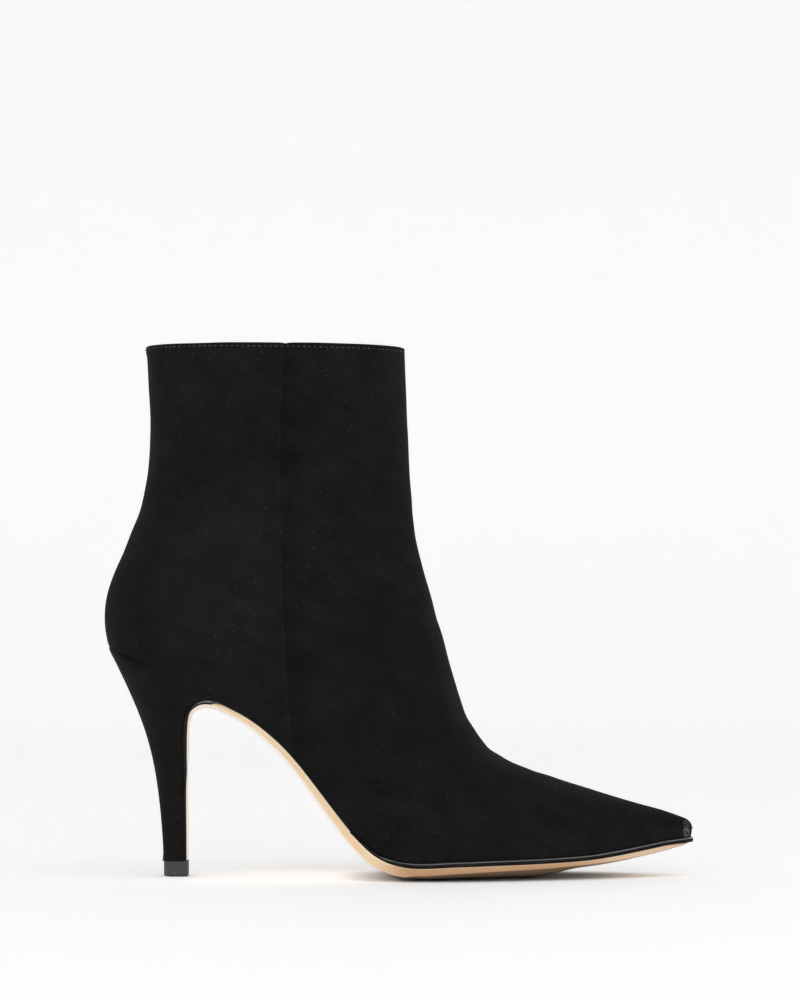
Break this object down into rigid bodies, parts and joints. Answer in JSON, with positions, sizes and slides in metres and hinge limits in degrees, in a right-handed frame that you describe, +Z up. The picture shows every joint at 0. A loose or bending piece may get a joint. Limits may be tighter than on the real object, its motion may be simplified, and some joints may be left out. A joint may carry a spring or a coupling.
{
  "type": "ankle boot",
  "caption": "Right-foot suede ankle boot with a pointed toe, straight shaft, thin leather sole and slender covered heel.",
  "frame": {"origin": "on the floor, at the middle of the boot's length and width", "axes": "+X from heel to toe, +Y to the inner side of the foot, +Z up"},
  "size_m": [0.2474, 0.073, 0.2215],
  "materials": {
    "suede": "matte brushed nap",
    "insole_leather": "plain matte",
    "polished_edge": "waxed gloss",
    "sole_leather": "smooth satin",
    "tip_rubber": "matte"
  },
  "bodies": {
    "root": {"upper": "suede", "insole": "insole_leather", "welt": "polished_edge", "outsole": "sole_leather", "heel": "suede", "top_piece": "tip_rubber"}
  },
  "joints": []
}
